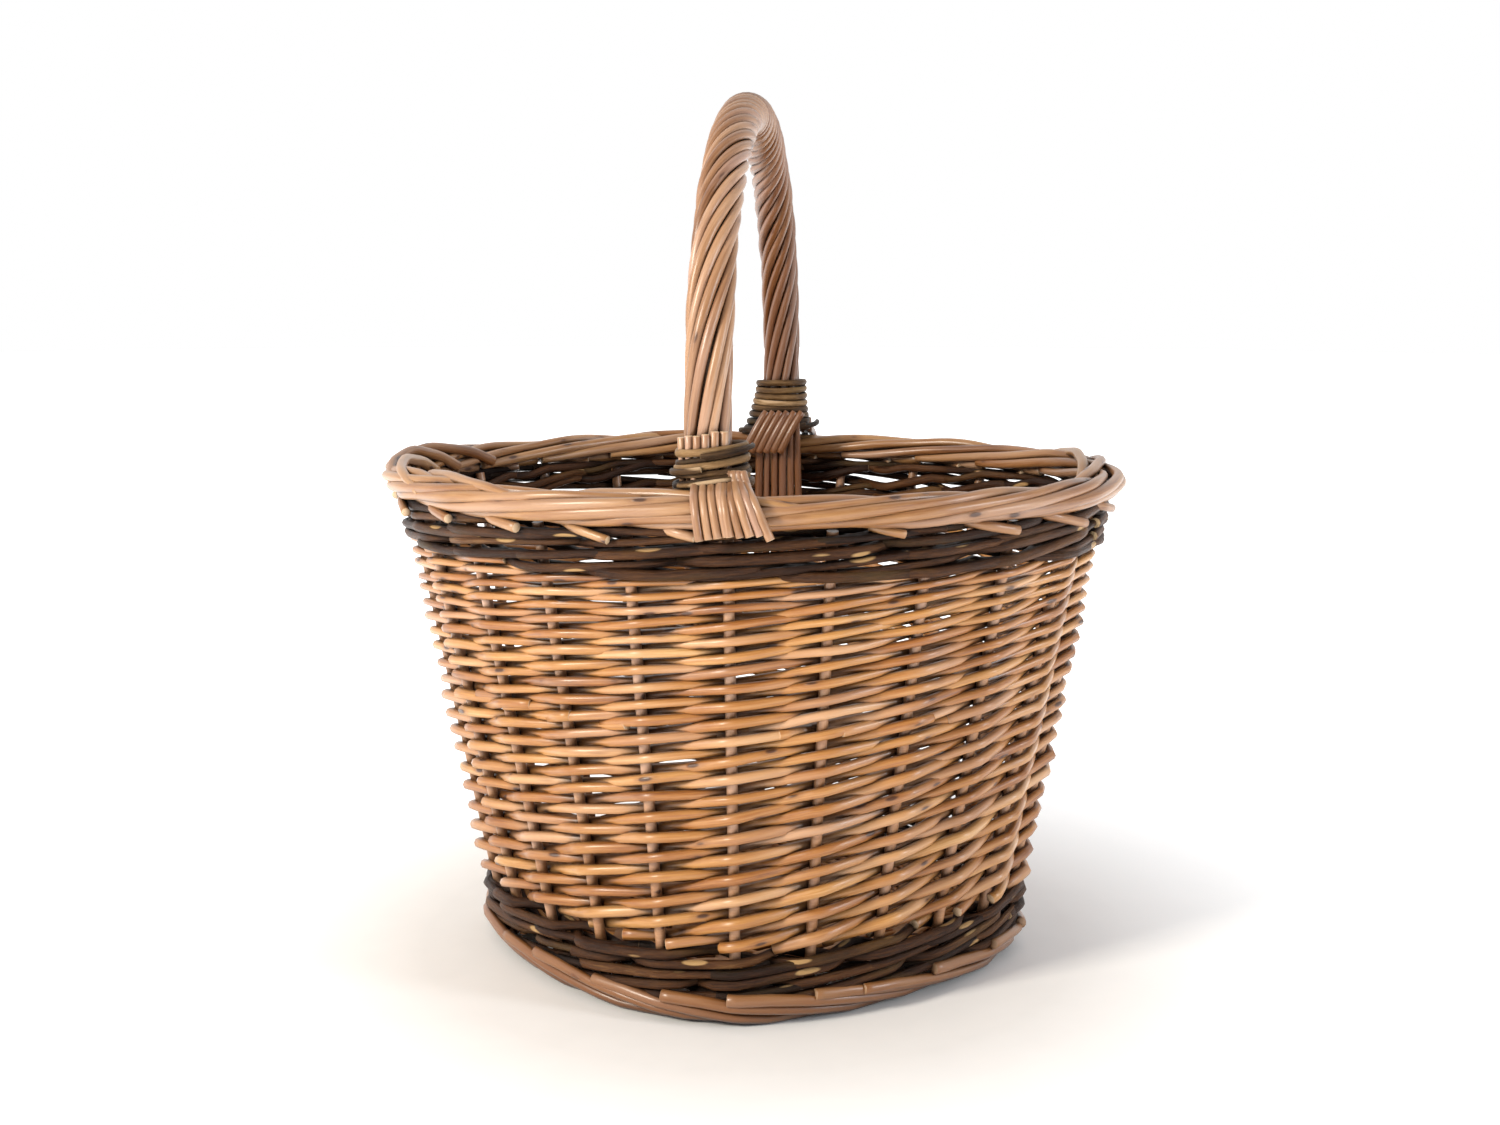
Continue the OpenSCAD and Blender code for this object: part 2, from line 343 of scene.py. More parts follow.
def willow(name, stops, blush, on_cad=False, roughness=0.4, darker=None):
    """Buff willow: fine streaks along the rod, slow changes from golden to pink, and small buds.
    A CAD rod (on_cad) has no record of its grain, so its place stands for it. darker deepens the
    colour along an axis: the axis, the rise per metre, the value at its zero, the most, the colour."""
    m = Nodes(name)
    where = m.place() if on_cad else m.attribute("grain", "Vector")
    tone = 0.5 if on_cad else m.attribute("tone")
    slow = m.noise(m.stretch(where, 16.0, 70.0), 2.0)
    streak = m.noise(m.stretch(where, 45.0, 900.0), 4.0, 0.65)
    level = m.add_share(m.math("MULTIPLY", slow, 0.8), tone, 0.42)
    level = m.math("SUBTRACT", m.add_share(level, streak, 0.9), 0.61, clamp=True)
    colour = m.ramp(level, stops)
    warm = m.patches(m.stretch(where, 11.0, 45.0), 1.0, 0.5, 4.0)
    colour = m.mix(m.math("MULTIPLY", warm, 0.7), colour, blush)
    # buds, in a darker patch that spreads round each
    knots = m.stretch(where, 38.0, 120.0)
    colour = m.mix(m.math("MULTIPLY", m.spots(knots, 0.3), 0.75), colour, stops[0][1])
    buds = m.math("MULTIPLY", m.spots(knots, 0.15), 2.5, clamp=True)
    colour = m.mix(m.math("MULTIPLY", buds, 0.85), colour, BUD)
    if not on_cad:
        colour = m.mix(m.attribute("cut"), colour, PEELED_END)
    if darker:
        axis, rise, at_zero, most, deep = darker
        split = m.node("ShaderNodeSeparateXYZ")
        m.plug(split.inputs[0], m.place())
        share = m.math("ADD", m.math("MULTIPLY", split.outputs[axis], rise), at_zero, clamp=True)
        colour = m.mix(m.math("MULTIPLY", share, most), colour, deep)
    # painted shade where rods crowd together
    colour = m.painted_crevice_shade(colour, WILLOW_PAINTED_SHADE)
    height = m.add_share(m.math("MULTIPLY", streak, 0.6), buds, 0.8)
    normal = m.bump(height, 0.5, 0.7 * MM)
    rough = m.math("ADD", m.math("MULTIPLY", streak, 0.25), roughness - 0.13)
    m.surface(colour, rough, normal, specular=0.5, coat=0.5)
    return m.material


def bark(name, stops, moss, scar, scar_size):
    """Unpeeled willow: dark bark with long wrinkles, mossy patches and pale cut scars."""
    m = Nodes(name)
    where = m.attribute("grain", "Vector")
    slow = m.noise(m.stretch(where, 22.0, 110.0), 3.0)
    fine = m.noise(m.stretch(where, 90.0, 900.0), 5.0, 0.7)
    level = m.add_share(m.math("MULTIPLY", slow, 0.9), m.attribute("tone"), 0.55)
    level = m.math("SUBTRACT", m.add_share(level, fine, 0.9), 0.8, clamp=True)
    colour = m.ramp(level, stops)
    patch = m.patches(m.stretch(where, 16.0, 60.0), 2.0, 0.56, 7.0)
    colour = m.mix(m.math("MULTIPLY", patch, 0.35), colour, moss)
    scars = m.math("MULTIPLY", m.spots(m.stretch(where, 24.0, 95.0), scar_size), 4.0, clamp=True)
    colour = m.mix(scars, colour, scar)
    colour = m.mix(m.attribute("cut"), colour, BARK_END)
    # painted shade where rods crowd together
    colour = m.painted_crevice_shade(colour, BARK_PAINTED_SHADE)
    normal = m.bump(m.add_share(fine, scars, -0.5), 0.8, 1.2 * MM)
    rough = m.math("ADD", m.math("MULTIPLY", fine, 0.35), 0.25)
    m.surface(colour, rough, normal, specular=0.2)
    return m.material


SIDING = willow("siding_willow",
                [(0.0, (0.17, 0.050, 0.009)), (0.3, (0.37, 0.138, 0.029)), (0.65, (0.53, 0.25, 0.070)),
                 (1.0, (0.73, 0.45, 0.20))], (0.65, 0.39, 0.23))
# the border is darker and redder towards the bottom, at the foot
BORDER = willow("border_willow",
                [(0.0, (0.15, 0.050, 0.013)), (0.3, (0.29, 0.12, 0.036)), (0.65, (0.42, 0.215, 0.082)),
                 (1.0, (0.55, 0.33, 0.165))], (0.50, 0.305, 0.20),
                darker=("Z", -20.0, 1.1, 0.8, (0.21, 0.068, 0.014)))
# painted shade: the handle's far leg is darker than its near one
HANDLE = willow("handle_willow",
                [(0.0, (0.15, 0.054, 0.018)), (0.3, (0.30, 0.14, 0.060)), (0.65, (0.45, 0.245, 0.128)),
                 (1.0, (0.60, 0.38, 0.25))], (0.54, 0.33, 0.25),
                darker=("Y", 4.0, 0.45, 0.85, (0.155, 0.047, 0.009)))
STAKE = willow("stake_willow",
               [(0.0, (0.24, 0.09, 0.03)), (0.35, (0.43, 0.20, 0.085)), (0.7, (0.58, 0.32, 0.17)),
                (1.0, (0.70, 0.46, 0.28))], (0.66, 0.42, 0.30), on_cad=True)
CORE = willow("core_willow",
              [(0.0, (0.24, 0.10, 0.04)), (0.35, (0.38, 0.19, 0.085)), (0.7, (0.52, 0.30, 0.16)),
               (1.0, (0.60, 0.41, 0.25))], (0.57, 0.37, 0.26), on_cad=True, roughness=0.52)
BARK = bark("bark_willow",
            [(0.0, (0.008, 0.003, 0.001)), (0.35, (0.032, 0.011, 0.004)), (0.7, (0.105, 0.041, 0.013)),
             (1.0, (0.28, 0.145, 0.055))], (0.12, 0.07, 0.018), (0.46, 0.28, 0.12), scar_size=0.17)
SPLIT = bark("split_willow",
             [(0.0, (0.015, 0.007, 0.003)), (0.35, (0.085, 0.042, 0.015)), (0.7, (0.27, 0.155, 0.065)),
              (1.0, (0.56, 0.37, 0.20))], (0.16, 0.12, 0.03), (0.58, 0.40, 0.24), scar_size=0.28)

# ---------------------------------------------------------------- the wall

STEPS = 8              # points of a rod in each space between stakes
STRAIGHT = 0.85        # how straight a rod runs between two stakes
LAYERS = 42            # layers of randing at each stake
SIDING_RODS = 32       # rods of the siding side by side; an even number, so that the last meets the first
LAYER_LOW = 6.05       # relative height of the lowest layer
LAYER_HIGH = 3.0       # and of the highest
STROKE_RISE = 0.33     # how far a rod rises in front of a stake, and drops behind one, in layers
SIDING_R = [3.0, 2.6, 1.85]       # radius of a siding rod at the foot, halfway and at the top, in mm


def weave_wave(u, phase):
    """1 at the stakes a rod passes in front of and -1 behind. It stays near a stake on the way to it
    and leaves it quickly, as a rod does that is pulled tight."""
    t = (u - phase + 1) % 2 - 1
    swing = 1 - 2 * np.abs(t) ** np.where(t > 0, 1.4, 0.75)
    return 0.12 * np.cos(math.pi * t) + 0.88 * swing


def stacked(layer):
    """Relative height of the layers below one, which get thinner upwards."""
    drop = (LAYER_LOW - LAYER_HIGH) / LAYERS
    return LAYER_LOW * layer - drop * layer * layer / 2


def layer_height(layer):
    """Height of a layer of the siding, from its number, which may lie between two layers."""
    return SIDING_LOW + (SIDING_HIGH - SIDING_LOW) * stacked(layer + 0.5) / stacked(LAYERS)


def siding_rod(bundle, k, first, last):
    """One rod, from its first layer to its last."""
    climb = SIDING_RODS / STAKES
    layer = np.linspace(first - 0.25, last + 0.3, int((last - first + 0.55) / climb * STEPS))
    u = (k + layer) / climb
    thick = np.interp(layer, [0, LAYERS * 0.5, LAYERS], SIDING_R) * MM
    thick = thick * rng.uniform(0.9, 1.08) * (1 + 0.05 * np.sin(layer * 1.7 + rng.uniform(0, TAU)))
    side = STAKE_R + thick * 1.05 + wander(len(u), 1 / STEPS, 0.5 * MM)
    wave = weave_wave(u, k)
    z = layer_height(layer + STROKE_RISE * wave) + wander(len(u), 2 / STEPS, 1.0 * MM)
    z = z + rng.normal(0, 0.3 * MM)
    bundle.rod(wall(u, z, wave * side, STRAIGHT), thick)


def randing():
    """Siding in French randing: each tapering rod goes in front of one stake and behind the next,
    and climbs."""
    lower, upper = Bundle("siding_rods_lower"), Bundle("siding_rods_upper")
    change = LAYERS // 2
    for k in range(SIDING_RODS):
        siding_rod(lower, k, 0, change)
        siding_rod(upper, k, change, LAYERS - 1)
    lower.finish(SIDING, "siding_willow", "siding_first_set")
    upper.finish(SIDING, "siding_willow", "siding_second_set")


WALE_RODS = 3          # rods that wale together
WALE_START = 5         # stakes between the starts of two of them
ROUND_RISE = 0.76      # how far a round rises, in rods; less than 1, because the rods nest
STROKE_LIFT = 0.8      # how far a stroke lifts from its start to its end, in rods


def wale_rod(bundle, rod, start, length, low, high, thick, rounds, unruly):
    """One rod of a wale, from its butt to its tip."""
    middle, d = (low + high) / 2, 2 * thick
    s = np.linspace(start - 0.4, start + length + 0.4, int((length + 0.8) * STEPS))
    stroke = (s + rod) % WALE_RODS
    front = np.clip(2.2 * np.cos(TAU * (stroke - 1.5) / WALE_RODS) + 0.9, -1, 1)
    rise = np.interp(stroke, [0, 0.35, 2.65, 3], [0, -1.05, 1.05, 0])
    radius = thick * np.interp(s, [start, start + length], [1.12, 0.8]) * rng.uniform(0.9, 1.1)
    bulge = 0.6 * np.clip(np.cos(TAU * (stroke - 1.2) / WALE_RODS), 0, 1) * thick
    off = front * (STAKE_R + radius) + bulge + wander(len(s), 1.3 / STEPS, unruly)
    z = (middle + (s / STAKES - rounds / 2) * 2 * d * ROUND_RISE + rise * d * STROKE_LIFT
         + wander(len(s), 1.1 / STEPS, 1.6 * unruly))
    z = np.clip(z, low + radius, high - radius)
    bundle.rod(wall(s + WALE_START * rod, z, off, STRAIGHT), radius)


def waling(name, node, below, above, thick, rounds, unruly):
    """Rods that each pass in front of two stakes and behind one, over and over. The band reaches a
    little below and above its CAD node, so that it closes against the siding and the borders."""
    bundle = Bundle(name)
    low, high = low_z(node) - below, high_z(node) + above
    total = STAKES * rounds
    for rod in range(WALE_RODS):
        start = 0
        while start < total:
            length = min(rng.integers(11, 17), total - start + 0.5)
            wale_rod(bundle, rod, start, length, low, high, thick, rounds, unruly)
            start += length
    bundle.finish(BARK, "bark_willow", node)


FOOT_R = 2.95 * MM
RIM_R = 3.05 * MM


def foot():
    """Foot border: each rod starts with a cut butt on top, outside, and runs down under the next ones."""
    bundle = Bundle("foot_border_rods")
    run = np.linspace(-0.1, 3.2, 34)
    height = np.interp(run, [-0.1, 0.4, 1.4, 2.4, 3.2], [14.6, 13.6, 8.7, 3.4, 3.1]) * MM
    out = np.interp(run, [-0.1, 0.5, 1.5, 2.4, 3.2], [9.2, 8.6, 7.6, 4.8, 0.5]) * MM
    for k in range(STAKES):
        r = FOOT_R * rng.uniform(0.93, 1.08)
        z = np.maximum(height + rng.normal(0, 0.7 * MM), r + 0.05 * MM)
        off = out + rng.normal(0, 0.6 * MM)
        taper = np.interp(run, [-0.1, 3.2], [1.06, 0.82])
        bundle.rod(wall(k + run + rng.normal(0, 0.1), z, off, 0.5), r * taper, sides=10)
    bundle.finish(BORDER, "border_willow", "foot_border")


RIM_RUN = 6.0          # how many stakes a rod of the rope border runs past
RIM_OFF = 3.5 * MM     # the middle of the rope outside the middle of the wall
ROPE_WIDE = 7.0 * MM   # how far the rods' middles lie from the rope's middle, sideways
ROPE_HIGH = 5.2 * MM   # and upwards
TIP_OUT = 11.1         # how far the end of a trimmed tip stands outside the wall's middle, in mm

# rods that ride over the rope where it closes: the stake where each starts, how far it rises above the
# rim in mm, and how many stakes it runs past
RIM_LOOPS = [(14.9, 1.0, 2.2), (15.6, 2.0, 1.9), (16.2, 0.8, 2.2), (17.6, -1.0, 2.6),
             (4.3, 0.0, 2.4), (5.4, 0.6, 2.0), (10.6, -1.2, 2.6), (20.1, -1.5, 2.8)]


def rope_rod(bundle, k, r):
    """A stake's top: up the outside of the rope, over it, down its inside and out below."""
    s = np.linspace(0, RIM_RUN, 60)
    turn = np.interp(s, [0, 0.5, 3.2, 4.4, RIM_RUN], [-1.75, -1.25, 1.0, 2.5, 4.1])
    turn = np.convolve(np.pad(turn, 3, mode="edge"), np.ones(7) / 7, mode="valid")
    girth = 1 + wander(len(s), 0.25, 0.24)
    off = RIM_OFF + ROPE_WIDE * np.cos(turn) * girth
    z = (RIM_LOW + RIM_HIGH) / 2 + ROPE_HIGH * np.sin(turn) * girth
    z = np.minimum(z, RIM_HIGH - r)
    taper = np.interp(s, [0, RIM_RUN], [1.08, 0.82])
    bundle.rod(wall(k + s + rng.normal(0, 0.05), z, off, 0.25), r * taper, sides=10)


def rope_tip(bundle, k, r):
    """The trimmed end of a rod of the rope, under the rim. None shows where the butts fan out."""
    s = np.linspace(0, rng.uniform(0.3, 0.62), 8)
    slope = rng.uniform(0.6, 1.1)
    off = np.interp(s, [0, 0.2, 0.62], [2.0, 8.0, TIP_OUT]) * MM
    z = RIM_LOW + (1.6 - slope * np.interp(s, [0, 0.2, 0.62], [0, 2.0, 6.4])) * MM
    if k not in (0, STAKES // 2):
        bundle.rod(wall(k + 0.35 + s, z, off, 0.3), r * 0.8, sides=10)


def rim():
    """Rope border, its trimmed tips, and the rods that close it."""
    bundle = Bundle("rim_border_rods")
    for k in range(STAKES):
        r = RIM_R * rng.uniform(0.86, 1.1)
        rope_rod(bundle, k, r)
        rope_tip(bundle, k, r)
    s = np.linspace(0, 1, 24)
    for start, high, length in RIM_LOOPS:
        off = np.interp(s, [0, 0.35, 0.7, 1], [-8.0, -3.5, 6.0, 10.0]) * MM
        z = RIM_HIGH + np.interp(s, [0, 0.15, 0.45, 0.75, 1], [-11.0, -4.0, high, -2.5, -9.0]) * MM
        path = wall(start + length * s, z, off, 0.2)
        path[1:-1] = (path[:-2] + path[1:-1] + path[2:]) / 3
        bundle.rod(path, 2.9 * MM * np.interp(s, [0, 1], [1.1, 0.85]), sides=10)
    bundle.finish(BORDER, "border_willow", "rim_border")


# ---------------------------------------------------------------- the handle

BOW = np.array([v.co[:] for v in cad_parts["handle_bow"].data.vertices])
CORE_R = BOW[:, 0].max()
FRONT_LOW = low_z("handle_lashing_front")
BACK_LOW = low_z("handle_lashing_back")
BACK_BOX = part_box("handle_lashing_back")
ARCH_R = (BACK_BOX[0][1] + BACK_BOX[1][1]) / 2
ARCH_Z = BOW[:, 2].max() - CORE_R - ARCH_R
WRAP_START = RIM_HIGH + 1 * MM
LEG = ARCH_Z - WRAP_START
HANDLE_LENGTH = 2 * LEG + math.pi * ARCH_R
WRAP_R = 2.3 * MM
WRAPS = count_nodes("handle_wrap_rod_")
FOOT_LAY = math.radians(7)      # the slant of the wrapping rods at the feet of the handle
TOP_LAY = math.radians(37)      # and on top


def bow_frame(run):
    """The middle of the handle at distances from its front foot, and the way out of its bend."""
    t = np.clip((run - LEG) / ARCH_R, 0, math.pi)
    out = np.column_stack([np.zeros_like(t), -np.cos(t), np.sin(t)])
    below = np.where(run < LEG, run - LEG, np.where(run > HANDLE_LENGTH - LEG, HANDLE_LENGTH - LEG - run, 0))
    centre = np.array([0, 0, ARCH_Z]) + ARCH_R * out + np.column_stack([0 * t, 0 * t, below])
    return centre, out


def wrap_angle(run):
    """How far the wrapping rods have turned, in radians: a slow twist at the feet and a quick one on top."""
    grid = np.linspace(0, HANDLE_LENGTH, 400)
    share = np.clip(np.minimum(grid, HANDLE_LENGTH - grid) / (HANDLE_LENGTH * 0.45), 0, 1)
    lay = FOOT_LAY + (TOP_LAY - FOOT_LAY) * share**1.15
    rate = np.tan(lay) / (CORE_R + WRAP_R)
    return np.interp(run, grid, np.concatenate([[0], np.cumsum(rate[:-1] * np.diff(grid))]))


def handle_wraps():
    """The rods that twist round the bow from foot to foot."""
    run = np.linspace(0, HANDLE_LENGTH, 170)
    centre, out = bow_frame(run)
    for k in range(WRAPS):
        bundle = Bundle(f"wrap_rod_{k + 1}")
        turn = wrap_angle(run) + TAU * k / WRAPS + wander(len(run), 0.05, 0.10)
        thin = np.interp(run, [0, HANDLE_LENGTH], [1.12, 1.0] if k % 2 else [1.0, 1.12])
        radius = WRAP_R * thin * rng.uniform(0.98, 1.08)
        away = CORE_R + WRAP_R * 0.9 + wander(len(run), 0.08, 0.35 * MM)
        side = np.cos(turn)[:, None] * out + np.sin(turn)[:, None] * np.array([1.0, 0, 0])
        bundle.rod(centre + side * away[:, None], radius, sides=10, ref=side)
        bundle.finish(HANDLE, "handle_willow", f"handle_wrap_rod_{k + 1}")


def strip(bundle, centre, around, z, wide, across, tone, thick, ends=(False, False)):
    """A turn of split willow: a flat strip along part of an oval round a leg of the handle.
    wide is the oval's two radii, and across and thick are half the strip's width and thickness."""
    x = centre[0] + wide[0] * np.cos(around)
    y = centre[1] + wide[1] * np.sin(around)
    bundle.rod(np.column_stack([x, y, z]), thick, sides=10, flat=across / thick, tone=tone, ends=ends,
               ref=np.column_stack([np.cos(around), np.sin(around), 0 * around]))


def lashing_front():
    """The front lashing: uneven, slanting strips over a row of cut rods, with one loose end."""
    bundle = Bundle("lashing_front")
    centre = (1.5 * MM, -ARCH_R)
    low = FRONT_LOW - 0.3 * MM
    around = np.linspace(0, TAU, 44)
    # whole turns: height in mm, tone, and half the width in mm
    turns = ((2.0, 0.2, 1.9), (5.4, 0.0, 1.6), (8.6, 0.45, 1.6), (12.2, 1.0, 1.9), (15.4, 0.15, 1.4),
             (18.6, 0.95, 1.9))
    for k, (height, tone, across) in enumerate(turns):
        slant = (2.6 + 0.9 * math.sin(2.1 * k)) * MM
        z = low + height * MM + slant * np.cos(around) + wander(len(around), 0.12, 0.35 * MM)
        out = (17.4 - 0.1 * height + 0.5 * (k % 2)) * MM
        strip(bundle, centre, around, z, (out, out * 0.98), across * MM, tone, 1.15 * MM)
    # part turns over them: height, tone, first and last angle, and half the width
    for height, tone, first, last, across in ((4.6, 0.95, 3.9, 6.0, 1.3), (11.0, 0.55, 3.2, 4.6, 1.5),
                                              (0.8, 0.3, 3.3, 6.75, 1.9), (17.0, 0.15, 4.6, 6.6, 1.3)):
        part = np.linspace(first, last, 24)
        z = low + height * MM + 3.0 * MM * np.cos(part)
        away = (18.6 + 2.2 * np.clip(part - 6.2, 0, 1) ** 1.5) * MM
        strip(bundle, centre, part, z, (away, away), across * MM, tone, 1.1 * MM, (True, True))
    bundle.finish(SPLIT, "split_willow", "handle_lashing_front")


def lashing_back():
    """The back lashing: close, level turns that widen downwards, the lowest nearly black."""
    bundle = Bundle("lashing_back")
    around = np.linspace(0, TAU, 44)
    low = BACK_LOW + 4.5 * MM
    tones = (0.0, 0.05, 0.45, 0.6, 0.95, 0.8, 0.7, 0.4)
    for k, tone in enumerate(tones):
        spread = 5.0 * MM * (1 - k / (len(tones) - 1)) ** 1.6
        z = low + 3.9 * MM * k + 0.5 * MM * np.cos(around + k) + wander(len(around), 0.12, 0.4 * MM)
        strip(bundle, (-0.5 * spread, ARCH_R), around, z, (14.2 * MM + spread, 14.4 * MM + 0.3 * spread),
              1.9 * MM, tone, 1.5 * MM)
    # loose ends at the bottom: height in mm, tone, first and last angle
    for height, tone, first, last in ((0.2, 0.0, 3.6, 6.5), (1.5, 0.05, 2.6, 5.6)):
        part = np.linspace(first, last, 20)
        z = low + (height + 2.0 * (part - 5.0)) * MM
        away = (20.5 + 2.0 * abs(part - 4.8)) * MM
        strip(bundle, (-1.5 * MM, ARCH_R), part, z, (away, 0.88 * away), 1.6 * MM, tone, 1.5 * MM,
              (True, True))
    bundle.finish(SPLIT, "split_willow", "handle_lashing_back")


def fan(bundle, side, count, across, lean, drop, thick, outside):
    """Cut butts of the wrapping rods, which come out of the lashing and fan out over the rim.
    side is -1 in front and 1 behind. across is where the first and the last leave the lashing, and
    lean how far each then leans; drop is how far below the rim they end. These are in mm."""
    s = np.linspace(0, 1, 16)
    knots = [0, 0.2, 0.5, 0.75, 1]
    out = np.interp(s, knots, [ARCH_R + 12.4 * MM, ARCH_R + 14.5 * MM, outside - 5 * MM,
                               outside - 0.6 * MM, outside + 0.3 * MM])
    height = np.interp(s, knots, [9.0, 3.5, -0.2, -8.0, drop]) * MM + RIM_HIGH
    for k in range(count):
        part = k / (count - 1)
        z = height + rng.uniform(-1.3, 1.3) * MM * s
        x = across[0] + (across[1] - across[0]) * part + (lean[0] + (lean[1] - lean[0]) * part) * s**1.3
        path = np.column_stack([-side * x * MM, side * (out + rng.uniform(-0.3, 0.3) * MM), z])
        bundle.rod(path, thick * MM * rng.uniform(0.93, 1.06), sides=10, ref=(1, 0, 0))


STUBS = 6              # cut ends that stand above the front lashing
STUB_OUT = 13.0 * MM   # how far they stand from the middle of the leg


def fan_front():
    """The butts in front, and the cut ends that stand above the lashing on the outside of the leg."""
    bundle = Bundle("butt_fan_front")
    outside = -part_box("rod_butts_front")[0][1] - WRAP_R
    fan(bundle, -1, 4, (-4.5, 6.5), (5.5, 7.0), -18.5, 2.1, outside)
    fan(bundle, -1, 5, (8.5, 17.5), (6.5, 15.5), -18.0, 2.1, outside + 0.6 * MM)
    for k in range(STUBS):
        x = (-11.0 + 3.9 * k) * MM
        y = -ARCH_R - math.sqrt(STUB_OUT**2 - x**2) - 0.3 * MM
        top = FRONT_LOW + (24.0 + 1.1 * k - 0.12 * k * k + rng.uniform(-1, 1)) * MM
        path = [(x * 0.96, y + 1.0 * MM, top - 22 * MM), (x, y + 0.5 * MM, top - 10 * MM), (x * 1.03, y, top)]
        bundle.rod(path, 2.05 * MM, sides=10, ref=(1, 0, 0))
    bundle.finish(HANDLE, "handle_willow", "rod_butts_front")


def fan_back():
    bundle = Bundle("butt_fan_back")
    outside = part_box("rod_butts_back")[1][1] - WRAP_R
    fan(bundle, 1, 8, (-15.0, 15.0), (-4.0, 8.0), -18.0, 2.3, outside)
    bundle.finish(HANDLE, "handle_willow", "rod_butts_back")


TAILS = 6


def tails(name, node, side, pitch, leaning=False):
    """Rods that leave the lashing on the inside, lie over the rim's inner edge and run down the wall,
    a pitch apart in mm. leaning adds as many that slant out from under the lashing."""
    bundle = Bundle(name)
    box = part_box(node)
    inner = min(abs(box[0][1]), abs(box[1][1]))
    low = box[0][2]
    s = np.linspace(0, 1, 14)
    for k in range(TAILS):
        across = (k - (TAILS - 1) / 2) * pitch * MM
        y = side * (inner + 2.4 * MM + 7.0 * MM * (1 - s))
        z = low + rng.uniform(-6, 6) * MM + (BACK_LOW + 10 * MM - low) * s
        x = across * (1 - 0.12 * s) + 0.8 * MM * rng.uniform(-1, 1) * s
        bundle.rod(np.column_stack([x, y, np.minimum(z, BACK_LOW + 12 * MM)]),
                   WRAP_R * rng.uniform(0.9, 1.12), sides=10, ref=(1, 0, 0))
    if leaning:
        s = np.linspace(0, 1, 12)
        for k in range(TAILS):
            x = (-6.5 + 4.3 * k) * MM - side * 13.0 * MM * (1 - s) ** 0.9
            y = side * (inner - 3.6 * MM - 1.5 * MM * np.sin(math.pi * s) + 2.0 * MM * s)
            z = RIM_LOW + (9 + 24 * s) * MM
            bundle.rod(np.column_stack([side * x, y, z]), WRAP_R, sides=10, ref=(1, 0, 0))
    bundle.finish(HANDLE, "handle_willow", node)


# ---------------------------------------------------------------- the base

BASE_ROUNDS = 24


def base():
    """Fine rods woven over and under the ends of the base's sticks, round outside round."""
    bundle = Bundle("base_rods")
    passes = 2 * (count_nodes("base_cross_stick_") + count_nodes("base_long_stick_"))
    t = np.linspace(0, TAU, 241)
    edge = wall(t / TAU * STAKES, BASE_Z, -9.5 * MM)[:, :2]
    inner = np.column_stack([np.sin(t) * 0.052 + np.clip(np.sin(t) * 2, -1, 1) * 0.030, -np.cos(t) * 0.013])
    for k in range(BASE_ROUNDS):
        share = (k + 0.3) / (BASE_ROUNDS - 0.6)
        path = inner * (1 - share) + edge * share
        angle = np.arctan2(path[:, 0], -path[:, 1])
        over = np.cos(angle * passes / 2 + math.pi * (k % 2))
        z = BASE_Z + over * 2.6 * MM + wander(len(t), 0.2, 0.5 * MM)
        bundle.rod(np.column_stack([path, z]), 1.9 * MM * rng.uniform(0.92, 1.05))
    bundle.finish(SIDING, "siding_willow", "base_weave")


# ---------------------------------------------------------------- CAD pieces that stay


def cad_finish():
    for name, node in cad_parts.items():
        if name.startswith("stake_"):
            material = STAKE
        elif name.startswith("base_") and "stick" in name or name == "handle_bow":
            material = CORE
        else:
            continue
        node.data.materials.clear()
        node.data.materials.append(material)


randing()
waling("lower_wale_rods", "lower_wale", 6 * MM, 1.5 * MM, 2.55 * MM, 3.3, 0.7 * MM)
waling("upper_wale_rods", "upper_wale", 3.5 * MM, 2 * MM, 2.45 * MM, 3.6, 1.0 * MM)
foot()
rim()
handle_wraps()
lashing_front()
lashing_back()
fan_front()
fan_back()
tails("tail_rods_front", "rod_tips_front", -1, 4.9)
tails("tail_rods_back", "rod_tips_back", 1, 5.3, leaning=True)
base()
cad_finish()

# ---------------------------------------------------------------- floor, light and camera

GLOW_FROM = 0.18       # distance from the middle of the basket where the floor starts to glow, in m
GLOW_RISE = 2.2        # and how fast it then rises to full, per m
WHITE_SIDE = (-0.3, 0.95, 0.0)   # the way from the basket to the white walls of the studio


def floor():
    """A pale floor. Away from the basket it glows, as a lit paper sweep does, and shows no horizon."""
    bpy.ops.mesh.primitive_circle_add(vertices=128, radius=8, fill_type="NGON",
                                      location=(0, 0, cad_box[0][2]))
    plane = bpy.context.object
    plane.name = "floor"
    m = Nodes("pale_floor")
    place = m.place()
    grain = m.noise(m.stretch(place, 40.0, 40.0), 2.0)
    colour = m.mix(grain, (0.90, 0.90, 0.90), (0.94, 0.94, 0.94))
    shader = m.surface(colour, 0.9, m.bump(grain, 0.02, 1.0 * MM), specular=0.1)
    distance = m.node("ShaderNodeVectorMath")
    distance.operation = "LENGTH"
    m.plug(distance.inputs[0], place)
    past = m.math("SUBTRACT", distance.outputs["Value"], GLOW_FROM)
    glow = m.math("MULTIPLY", past, GLOW_RISE, clamp=True)
    m.plug(shader.inputs["Emission Color"], m.mix(glow, (0.0, 0.0, 0.0), (1.0, 1.0, 1.0)))
    shader.inputs["Emission Strength"].default_value = 1.0
    plane.data.materials.append(m.material)


def area_light(name, place, aim, size, power, colour):
    data = bpy.data.lights.new(name, "AREA")
    data.shape = "RECTANGLE"
    data.size, data.size_y = size
    data.energy = power
    data.color = colour
    lamp = bpy.data.objects.new(name, data)
    lamp.location = place
    lamp.rotation_euler = (Vector(aim) - Vector(place)).to_track_quat("-Z", "Y").to_euler()
    bpy.context.collection.objects.link(lamp)


def map_range(tree, value, low, high, at_low, at_high):
    """A value that goes from at_low to at_high while another goes from low to high."""
    n = tree.nodes.new("ShaderNodeMapRange")
    tree.links.new(value, n.inputs["Value"])
    for name, number in (("From Min", low), ("From Max", high), ("To Min", at_low), ("To Max", at_high)):
        n.inputs[name].default_value = number
    return n.outputs["Result"]


